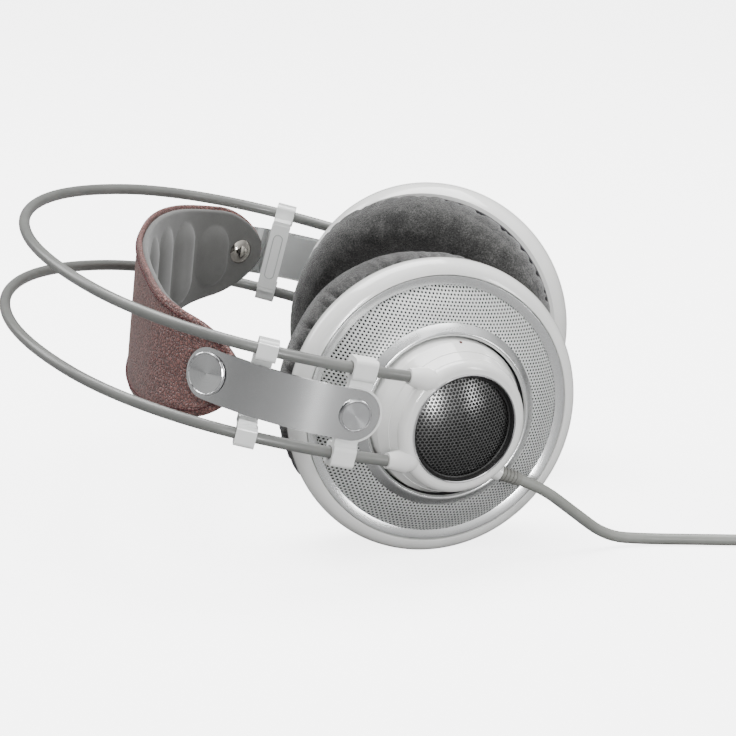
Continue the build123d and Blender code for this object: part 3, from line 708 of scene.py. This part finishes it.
def cup_hard(side_name):
    side = SIDES[side_name]
    body = f"{side_name}_cup"
    m = ear_frame(CUP_TOE[side_name], side, CUP_NOD[side_name])
    shell = lathe(f"{side_name}_rim_shell", RIM, m)
    finish_piece(shell, "white", body, f"{side_name}_cup_rim", slot="gloss_white")
    band = lathe(f"{side_name}_trim_band", TRIM, m)
    finish_piece(band, "ring", body, f"{side_name}_trim_ring", slot="spun_aluminium")
    height = arc_height(*GRILLE_ARC)
    sheet = perforated(f"{side_name}_grille_sheet", height, 33.4, 45.1, PITCH, HOLE, m, turn=0.12)
    finish_piece(sheet, "grille", body, f"{side_name}_grille", slot="silver_grille")
    under = [(r, height(r) - 0.7) for r in (32.6, 35, 37.5, 40, 42.5, 45.2)]
    backing = under + [(r, z - 0.25) for r, z in reversed(under)]
    finish_piece(lathe(f"{side_name}_grille_cloth", backing, m), "dark", body, slot="black_cloth")


for ear in SIDES:
    cup_hard(ear)


# ---------------------------------------------------------------- hub mesh
def dome_height(edge_r, edge_z, rise):
    radius = (edge_r ** 2 + rise ** 2) / (2 * rise)
    return lambda r: edge_z + rise - radius + math.sqrt(max(radius ** 2 - r ** 2, 0.01))


def hub_mesh(side_name):
    side = SIDES[side_name]
    m = ear_frame(HUB_TOE, side)
    height = dome_height(18.8, 16.5, 5.2)
    net = perforated(f"{side_name}_hub_net", height, 0, 18.5, 1.36, 0.60, m, turn=0.3, thick=0.30)
    finish_piece(net, "mesh", "frame", f"{side_name}_mesh_dome", slot="dark_mesh")
    under = [(r, height(r) - 0.9) for r in (0.0, 4, 8, 12, 15, 17.5, 18.9)]
    cup = lathe(f"{side_name}_hub_net_back", under + [(18.9, 15.5), (0.0, 15.5)], m, steps=96)
    finish_piece(cup, "black", "frame", slot="dark_mesh")
    black = [(18.3, 15.6), (19.55, 15.6), (19.55, 18.2), (19.35, 18.4), (19.1, 18.1), (18.95, 17.4), (18.7, 16.95),
             (18.3, 16.8)]
    finish_piece(lathe(f"{side_name}_hub_black_ring", black, m), "black", "frame", slot="dark_mesh")
    bright = [(19.57, 15.6), (20.25, 15.6), (20.25, 18.75), (20.1, 18.95), (19.85, 18.98), (19.6, 18.7)]
    ring = lathe(f"{side_name}_hub_bright_ring", bright, m)
    finish_piece(ring, "chrome", "frame", f"{side_name}_mesh_ring", slot="chrome_trim")


def hub_details(side_name):
    """The fine raised joint round the shoulder of the hub, and a small dark red mark beside it."""
    m = ear_frame(HUB_TOE, SIDES[side_name])
    bead = [(26.12 + 0.17 * math.cos(a), 10.55 + 0.17 * math.sin(a)) for a in [math.pi * k / 5 for k in range(10)]]
    finish_piece(lathe(f"{side_name}_hub_joint", bead, m), "white", "frame", slot="gloss_white")
    dot = [(0, 0.35), (0.3, 0.32), (0.55, 0.18), (0.6, 0.0), (0.0, -0.2)]
    turn = Matrix.Rotation(math.radians(-83 * SIDES[side_name]), 4, "Z")
    seat = m @ turn @ Matrix.Translation(scaled(28.2, 0, 6.2)) @ Matrix.Rotation(math.radians(72), 4, "Y")
    finish_piece(lathe(f"{side_name}_side_mark", dot, seat, steps=24), "mark", "frame", slot="dark_mesh")


for ear in SIDES:
    hub_mesh(ear)
    hub_details(ear)


# ---------------------------------------------------------------- arm cap and slider button
ARCH_TOP = 57.3
ARCH_ARCS = ((159.5, 13.3), (138.8, 39.6), (77.3, 93.7), (130.7, 116.5))
SLIDER_ANGLE = 108.6
ARM_LIFT, ARM_T, SPACER_T = 3.6, 1.4, 1.3


def arch_spot(angle):
    """Point (x, z) of the left half of the arch where it has turned through an angle."""
    x, z, here = 0.0, ARCH_TOP, 0.0
    for radius, end in ARCH_ARCS:
        stop = min(end, angle)
        if stop <= here:
            break
        x += radius * (math.sin(math.radians(stop)) - math.sin(math.radians(here)))
        z += radius * (math.cos(math.radians(stop)) - math.cos(math.radians(here)))
        here = stop
    return x, z


def disc(name, radius, low, top, hollow, seat, body, node_name, look):
    """A turned button: a bright bevelled rim round a face hollowed to a shallow cone."""
    rim = [(radius - 0.75, low), (radius, low), (radius, top - 0.55), (radius - 0.12, top - 0.2),
           (radius - 0.35, top), (radius - 0.6, top - 0.02), (radius - 0.75, top - 0.2)]
    inner = radius - 0.8
    deep = top - 0.2 - hollow
    face = [(0.0, deep - 0.1), (0.3, deep)] + [(inner * k / 10, deep + hollow * k / 10) for k in range(1, 11)]
    face += [(inner, low), (0.0, low)]
    finish_piece(lathe(f"{name}_rim", rim, seat, steps=96), "chrome", body, slot="chrome_trim")
    finish_piece(lathe(f"{name}_face", face, seat, steps=96), look, body, node_name, slot="spun_aluminium")


def arm_discs(side_name):
    side = SIDES[side_name]
    x, z = arch_spot(SLIDER_ANGLE)
    t = math.radians(SLIDER_ANGLE)
    foot = Vector((x + math.sin(t) * ARM_LIFT, z + math.cos(t) * ARM_LIFT))
    reach = (LEATHER_T + LINING_T) / 2 + SPACER_T + ARM_T / 2
    head = Vector((SCREW_X + math.sin(END_ANGLE) * reach, SCREW_Z + math.cos(END_ANGLE) * reach))
    chord = head - foot
    lean = math.atan2(chord.x, chord.y)
    radius = chord.length / (2 * math.sin(t - math.pi / 2 - lean))
    middle = foot - Vector((math.sin(t), math.cos(t))) * radius
    out = (head - middle).normalized()
    up = (-side * out.y, 0, out.x)
    cap_seat = basis((side * head.x, 0, head.y), up, (side * out.x, 0, out.y))
    arm = f"{side_name}_arm"
    disc(f"{side_name}_cap", 7.75, 0.72, 1.75, 0.68, cap_seat, arm, f"{side_name}_arm_cap", "cap")
    up = (-side * math.cos(t), 0, math.sin(t))
    button_seat = basis((side * x, 0, z), up, (side * math.sin(t), 0, math.cos(t)))
    top = ARM_LIFT + ARM_T / 2 + 0.02
    disc(f"{side_name}_button", 5.85, top, top + 1.3, 0.1, button_seat, arm,
         f"{side_name}_slider_button", "button")


# ---------------------------------------------------------------- headband strap
STRAP_TOP, SCREW_X, SCREW_Z = 9.4, 107.3, -23.6
FLAT_ANGLE, END_ANGLE = math.radians(15.0), math.radians(53.2)
LEATHER_T, LINING_T = 1.8, 2.2
HALF_W = 25.8
DROOP = math.radians(9.0)


def strap_radii():
    rise = STRAP_TOP - SCREW_Z
    a1, a2 = math.sin(FLAT_ANGLE), math.sin(END_ANGLE) - math.sin(FLAT_ANGLE)
    c1, c2 = 1 - math.cos(FLAT_ANGLE), math.cos(FLAT_ANGLE) - math.cos(END_ANGLE)
    end_r = (rise - SCREW_X * c1 / a1) / (c2 - a2 * c1 / a1)
    return (SCREW_X - end_r * a2) / a1, end_r


FLAT_R, END_R = strap_radii()
FLAT_LENGTH = FLAT_R * FLAT_ANGLE
TO_SCREW = FLAT_LENGTH + END_R * (END_ANGLE - FLAT_ANGLE)
TO_TIP = TO_SCREW + 11.3


def strap_line(s):
    """Middle of the strap at a length from its top: (x, z) and outward direction, worn frame, millimetres."""
    a = min(abs(s), TO_TIP)
    if a <= FLAT_LENGTH:
        t = a / FLAT_R
        x, z = FLAT_R * math.sin(t), STRAP_TOP - FLAT_R + FLAT_R * math.cos(t)
    else:
        t = FLAT_ANGLE + (a - FLAT_LENGTH) / END_R
        cx = (FLAT_R - END_R) * math.sin(FLAT_ANGLE)
        cz = STRAP_TOP - FLAT_R + (FLAT_R - END_R) * math.cos(FLAT_ANGLE)
        x, z = cx + END_R * math.sin(t), cz + END_R * math.cos(t)
    k = 1 if s >= 0 else -1
    return Vector((k * x, 0, z)), Vector((k * math.sin(t), 0, math.cos(t)))


def strap_point(s, y, offset):
    """A point of the strap in the laid-down frame, in metres."""
    p, out = strap_line(s)
    p = p + out * offset
    p.y = y
    z = p.z - SCREW_Z
    c, k = math.cos(DROOP), math.sin(DROOP)
    return LAID @ scaled(p.x, p.y * c - z * k, p.y * k + z * c + SCREW_Z)


STRAIGHT_TO, SIDE_R = 20.0, 417.0
TIP_MID, TIP_HALF_W = 98.77, 18.05
TIP_X = strap_line(TO_TIP)[0].x


def half_width(s):
    """Half the strap's width: straight, then drawn in by a long arc, then a round tip."""
    x = abs(strap_line(s)[0].x)
    if x <= STRAIGHT_TO:
        return HALF_W
    if x <= SCREW_X - 6.0:
        return HALF_W - (x - STRAIGHT_TO) ** 2 / (2 * SIDE_R)
    t = min((x - TIP_MID) / (TIP_X - TIP_MID), 1.0)
    return TIP_HALF_W * math.sqrt(1 - t * t)


def strap_stations(margin):
    """Lengths along the strap, packed more closely towards its round tips."""
    tip = TO_TIP - margin
    return [tip * math.sin(math.pi / 2 * k / 150) for k in range(-150, 151)]


def strap_band(name, inside, outside, margin, edge_r, relief_out, relief_in, across=46):
    """A closed strip with rounded edges; relief_* lift its two faces by (length, y, distance from the edge)."""
    stations = strap_stations(margin)
    thick = outside - inside
    verts = []
    for s in stations:
        h = max(half_width(s) - margin, 0.05) if abs(s) < TO_TIP - margin - 1e-6 else 0.05
        flat = max(h - edge_r, 0.0)
        r = min(edge_r, h)
        ring = []
        to_tip = TO_TIP - margin - abs(s)
        for k in range(across + 1):
            y = flat * (2 * k / across - 1)
            d = min(flat - abs(y), to_tip)
            ring.append((y, outside + relief_out(s, y, d)))
        for k in range(1, 6):
            a = math.pi * k / 6
            ring.append((flat + r * math.sin(a), (outside + inside) / 2 + thick / 2 * math.cos(a)))
        for k in range(across + 1):
            y = flat * (1 - 2 * k / across)
            d = min(flat - abs(y), to_tip)
            ring.append((y, inside - relief_in(s, y, d)))
        for k in range(1, 6):
            a = math.pi * k / 6
            ring.append((-flat - r * math.sin(a), (outside + inside) / 2 - thick / 2 * math.cos(a)))
        loops = len(ring)
        verts += [strap_point(s, y, o) for y, o in ring]
    faces = ring_faces(len(stations), loops, False)
    faces.append(tuple(range(loops)))
    faces.append(tuple(range(len(verts) - 1, len(verts) - 1 - loops, -1)))
    return face_outwards(mesh_from(name, verts, faces, angle=60), 60)


SEAM_IN = 1.5


def leather_relief(s, y, d):
    """Rolled edge, a sunk seam and faint creases, pressed flat where the arm's head leans over."""
    roll = 0.35 * math.exp(-((d - 0.6) / 1.0) ** 2)
    seam = -0.2 * math.exp(-((d - SEAM_IN) / 0.55) ** 2)
    puff = 0.18 * (1 - math.exp(-max(d - SEAM_IN, 0) / 2.5))
    crease = 0.09 * noise.noise(Vector((s * 0.11, y * 0.05, 3.0)))
    under_arm = smooth_step(TO_SCREW - 24, TO_SCREW - 14, abs(s)) * (1 - smooth_step(12, 15, abs(y)))
    relief = (roll + seam + puff) * (1 if d > 0.3 else d / 0.3) + crease * min(d / 4, 1)
    return relief * (1 - under_arm) - 0.2 * under_arm * min(d / 0.6, 1)


def lining_relief(s, y, d):
    """Soft ribs across the lining, four to each side, rounded at their ends."""
    lift = 0.0
    for centre, half, wide in ((100.5, 12.5, 9.6), (76.8, 16.5, 11.0), (50.5, 19.0, 11.6), (24.0, 20.0, 11.6)):
        along = abs(abs(s) - centre) / wide
        past = max(abs(y + 1.0) - (half - 9.0), 0.0) / 9.0
        q = math.hypot(along, past)
        if q < 1:
            lift = max(lift, 2.0 * (1 - q ** 2.6) ** 0.8)
    soft = 0.12 * noise.noise(Vector((s * 0.06, y * 0.07, 9.0)))
    return (lift + soft) * min(max(d, 0) / 1.5, 1)


def no_relief(s, y, d):
    return 0.0


def stitches(name, inset, offset, length, radius):
    """Sewn stitches, end to end, that follow the strap's edge at a set distance in from it."""
    outline = []
    steps = 900
    limit = TO_TIP - inset
    for sign in (1, -1):
        row = []
        for k in range(-steps, steps + 1):
            s = limit * math.sin(math.pi / 2 * k / steps)
            h = half_width(s) - inset * (1.0 if abs(s) < TO_SCREW - 4 else 1.15)
            row.append((s, sign * max(h, 0.0)))
        outline.append(row)
    verts, faces = [], []
    for row in outline:
        run = 0.0
        start = None
        prev = None
        for s, y in row:
            p = strap_point(s, y, offset)
            if prev is not None:
                run += (p - prev).length / MM
            if start is None:
                start = (p, run)
            elif run - start[1] >= length:
                add_stitch(verts, faces, start[0], p, surface_normal(s, y), radius)
                start = None
            prev = p
    return mesh_from(name, verts, faces, angle=60)


def surface_normal(s, y):
    return (strap_point(s, y, 5) - strap_point(s, y, 4)).normalized()


def add_stitch(verts, faces, a, b, out, radius):
    """One rounded stitch from a to b, sunk at its ends."""
    along = (b - a).normalized()
    side = along.cross(out).normalized()
    base = len(verts)
    rings, around = 7, 8
    for i in range(rings):
        t = i / (rings - 1)
        r = radius * MM * (0.45 + 0.55 * math.sin(math.pi * t) ** 0.6)
        lift = out * (0.30 * MM * math.sin(math.pi * t) - 0.12 * MM)
        c = a.lerp(b, t) + lift
        for k in range(around):
            ang = 2 * math.pi * k / around
            verts.append(c + side * (r * math.cos(ang)) + out * (r * math.sin(ang)))
    for i in range(rings - 1):
        for k in range(around):
            m = (k + 1) % around
            low, high = base + i * around, base + (i + 1) * around
            faces.append((low + k, low + m, high + m, high + k))
    faces.append(tuple(base + around - 1 - k for k in range(around)))
    faces.append(tuple(base + (rings - 1) * around + k for k in range(around)))


def end_screw(side_name):
    """Domed screw head that holds the end of the strap, on the lining side."""
    side = SIDES[side_name]
    out = (side * math.sin(END_ANGLE), 0, math.cos(END_ANGLE))
    up = (-side * math.cos(END_ANGLE), 0, math.sin(END_ANGLE))
    seat = basis((side * SCREW_X, 0, SCREW_Z), up, out)
    low = -(LEATHER_T + LINING_T) / 2 - 0.7
    half, rise = 4.8, 2.2
    radius = (half ** 2 + rise ** 2) / (2 * rise)
    angles = [math.asin(half / radius) * k / 14 for k in range(15)]
    dome = [(radius * math.sin(a), low - rise + radius * (1 - math.cos(a))) for a in angles]
    edge = [(4.9, low + 0.12), (4.85, low + 0.4), (4.6, low + 0.5), (0.0, low + 0.5)]
    nodes = ("strap_screws",) if side_name == "left" else ()
    screw = lathe(f"{side_name}_strap_screw", dome + edge, seat, steps=72)
    finish_piece(screw, "bronze", "headband", *nodes, slot="chrome_trim")


def stadium(half_length, radius):
    """Points (x, y) round a slot that is long in y."""
    middle = half_length - radius
    angles = [math.pi * k / 14 for k in range(15)]
    top = [(radius * math.cos(a), middle + radius * math.sin(a)) for a in angles]
    return top + [(-x, -y) for x, y in top]


def bead_loop(name, path, seat, radius):
    """A thin round bead that follows a closed flat path."""
    verts = []
    n, around = len(path), 8
    for i, (x, y) in enumerate(path):
        ax, ay = path[i - 1]
        bx, by = path[(i + 1) % n]
        side = Vector((by - ay, ax - bx, 0)).normalized()
        for k in range(around):
            t = 2 * math.pi * k / around
            lift = Vector((0, 0, radius * math.sin(t)))
            verts.append((Vector((x, y, 0)) + side * (radius * math.cos(t)) + lift) * MM)
    return mesh_from(name, verts, ring_faces(n, around, True), seat, 60)


CLIP_ANGLE = 93.2


def clip_recess(side_name):
    """The outline pressed into the inner face of the upper clip."""
    side = SIDES[side_name]
    x, z = arch_spot(CLIP_ANGLE)
    t = math.radians(CLIP_ANGLE)
    seat = basis((side * x, 0, z), (-side * math.cos(t), 0, math.sin(t)), (side * math.sin(t), 0, math.cos(t)))
    seat = seat @ Matrix.Translation(scaled(0, 0, -10.42))
    bead = bead_loop(f"{side_name}_clip_recess", stadium(9.05, 1.8), seat, 0.20)
    finish_piece(bead, "liner", "frame", slot="light_grey_plastic")


def socket_fairing(side_name):
    """Rounds the foot of each rod socket into the hub."""
    t = math.radians(HUB_TOE)
    x, z = arch_spot(90 + HUB_TOE)
    level = (x - PIVOT[0]) * math.cos(t) - (z - PIVOT[2]) * math.sin(t)
    angles = [math.pi / 2 * k / 12 for k in range(13)]
    outline = [(4.2 * math.sin(a), 6.0 * math.cos(a)) for a in angles] + [(0.0, -0.1)]
    for y in (-1, 1):
        seat = ear_frame(HUB_TOE, SIDES[side_name]) @ Matrix.Translation(scaled(18.55, y * 15.1, level - 0.8))
        seat = seat @ Matrix.Rotation(math.radians(-90), 4, "Y")
        name = f"{side_name}_socket_foot_{'rear' if y * SIDES[side_name] < 0 else 'front'}"
        finish_piece(lathe(name, outline, seat, steps=48), "white", "frame", slot="gloss_white")


for ear in SIDES:
    arm_discs(ear)
    socket_fairing(ear)
    end_screw(ear)
    clip_recess(ear)

STRAP_OUT = (LEATHER_T + LINING_T) / 2
leather_piece = strap_band("strap_leather_cover", STRAP_OUT - LEATHER_T, STRAP_OUT, 0.0, 1.0,
                           leather_relief, no_relief)
finish_piece(leather_piece, "leather", "headband", "strap_leather", slot="brown_leather")
lining_piece = strap_band("strap_lining_pad", -STRAP_OUT, STRAP_OUT - LEATHER_T - 0.02, 1.3, 1.1,
                          no_relief, lining_relief, across=60)
finish_piece(lining_piece, "lining", "headband", "strap_lining", slot="dark_lining")
sewing = stitches("strap_stitching", SEAM_IN + 1.0, STRAP_OUT + 0.2, length=2.1, radius=0.33)
finish_piece(sewing, "thread", "headband", slot="brown_leather")


# ---------------------------------------------------------------- ear pads
PAD_BASE, PAD_FACE = -20.7, -46.9
PAD_LIMIT = 52.7
GATHERS = 54


def pad_profile():
    """The cushion's section as (radius, height), from its base outside, over its face, to its base inside."""
    outer = arc3((49.0, PAD_BASE), (51.7, -28.5), (50.9, -36.5), 14)
    shoulder = arc3((50.9, -36.5), (47.6, -43.2), (40.0, PAD_FACE), 12)
    inner = arc3((40.0, PAD_FACE), (32.6, -42.8), (29.7, -34.0), 14)
    wall = arc3((29.7, -34.0), (30.8, -26.0), (33.5, PAD_BASE), 10)
    base = [(33.5 + (49.0 - 33.5) * k / 9, PAD_BASE) for k in range(1, 9)]
    return tidy_line(outer + shoulder[1:] + inner[1:] + wall[1:] + base)


def puff(ob, frames, pressure, cap, pinned):
    """Swells a closed cushion with a cloth simulation, holding the pinned points."""
    scene = bpy.context.scene
    group = ob.vertex_groups.new(name="pin")
    group.add(pinned, 1.0, "REPLACE")
    start = [v.co.copy() for v in ob.data.vertices]
    mod = ob.modifiers.new("cloth", "CLOTH")
    st = mod.settings
    st.quality = 5
    st.mass = 0.2
    st.tension_stiffness = 12
    st.compression_stiffness = 8
    st.bending_stiffness = 0.6
    st.use_pressure = True
    st.uniform_pressure_force = pressure
    st.effector_weights.gravity = 0.0
    st.vertex_group_mass = "pin"
    mod.collision_settings.use_collision = False
    mod.point_cache.frame_start, mod.point_cache.frame_end = 1, frames
    for f in range(1, frames + 1):
        scene.frame_set(f)
    graph = bpy.context.evaluated_depsgraph_get()
    moved = [v.co.copy() for v in ob.evaluated_get(graph).data.vertices]
    ob.modifiers.remove(mod)
    scene.frame_set(1)
    for v, a, b in zip(ob.data.vertices, start, moved):
        step = b - a
        if step.length > cap:
            step *= cap / step.length
        v.co = a + step
    ob.vertex_groups.clear()
    ob.data.update()


def gather(ob, seed):
    """Sewn gathers where the cover is drawn in under the rim, running out as soft creases over the side."""
    rng = random.Random(seed)
    edges = sorted((k + rng.uniform(-0.34, 0.34)) * 2 * math.pi / GATHERS for k in range(GATHERS))
    depth = [rng.uniform(0.45, 1.0) for _ in range(GATHERS)]
    reach = [rng.uniform(5.0, 10.0) for _ in range(GATHERS)]
    lean = [rng.uniform(-0.10, 0.10) for _ in range(GATHERS)]
    for v in ob.data.vertices:
        x, y, u = v.co.x / MM, v.co.y / MM, v.co.z / MM
        r = math.hypot(x, y)
        a = math.atan2(y, x) % (2 * math.pi)
        out = Vector((x / r, y / r, 0))
        down = PAD_BASE - u
        outside = smooth_step(40.0, 46.0, r)
        gaps = [abs((a - edge - tilt * down / 24 + math.pi) % (2 * math.pi) - math.pi)
                for edge, tilt in zip(edges, lean)]
        k = min(range(GATHERS), key=gaps.__getitem__)
        gap = gaps[k] * 50.0
        near = 1 - smooth_step(0.0, reach[k], down)
        pinch = math.exp(-(gap / 0.95) ** 2) * depth[k] * near
        shift = -1.5 * pinch + 0.45 * near * (1 - math.exp(-(gap / 1.8) ** 2))
        crease = -0.95 * math.exp(-(gap / 1.15) ** 2) * depth[k] * (1 - smooth_step(6.0, 21.0, down))
        top = smooth_step(0.8, 1.0, math.cos(a)) * 1.0 * smooth_step(4.0, 14.0, down)
        spot = Vector((math.cos(a) * 3.1, math.sin(a) * 3.1, u * 0.09 + seed))
        lumps = 0.45 * noise.noise(spot) * smooth_step(0, 5, down)
        v.co += out * (((shift + crease - top) * outside + lumps) * MM)
        spot = Vector((math.cos(a) * 4, math.sin(a) * 4, seed + 5.0))
        v.co.z += 0.4 * noise.noise(spot) * MM * smooth_step(12, 22, down)
    ob.data.update()


def ear_pad(side_name, seed):
    side = SIDES[side_name]
    m = ear_frame(CUP_TOE[side_name], side, CUP_NOD[side_name])
    name = f"{side_name}_pad_cushion"
    pad = lathe(name, pad_profile(), Matrix.Identity(4), steps=144, angle=180)
    pinned = [v.index for v in pad.data.vertices if v.co.z > (PAD_BASE - 1.2) * MM]
    puff(pad, 18, 3.0, 1.1 * MM, pinned)
    limit_pad(pad)
    sub = pad.modifiers.new("sub", "SUBSURF")
    sub.levels = sub.render_levels = 2
    apply_modifiers(pad)
    gather(pad, seed)
    pad.data.materials.clear()
    pad.data.materials.append(MAT["velour"])
    pad.data.materials.append(MAT["pad_inside"])
    # the inner wall near the base takes the near-black cloth: painted shade for the dark hollow inside the cup
    for poly in pad.data.polygons:
        c = poly.center / MM
        if math.hypot(c.x, c.y) < 32.0 and c.z > -41.0:
            poly.material_index = 1
    shade_smooth(pad.data, 180)
    pad.matrix_world = m
    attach(pad, f"{side_name}_cup")
    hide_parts(f"{side_name}_ear_pad")


def limit_pad(ob):
    """Keeps the swollen pad clear of the rim and the baffle."""
    for v in ob.data.vertices:
        r = math.hypot(v.co.x, v.co.y) / MM
        if r > PAD_LIMIT:
            v.co.x *= PAD_LIMIT / r
            v.co.y *= PAD_LIMIT / r
        v.co.z = min(v.co.z, PAD_BASE * MM)
    ob.data.update()


def apply_modifiers(ob):
    graph = bpy.context.evaluated_depsgraph_get()
    graph.update()
    mesh = bpy.data.meshes.new_from_object(ob.evaluated_get(graph), depsgraph=graph)
    ob.modifiers.clear()
    old = ob.data
    ob.data = mesh
    bpy.data.meshes.remove(old)


for number, ear in enumerate(SIDES):
    ear_pad(ear, 11 + number)
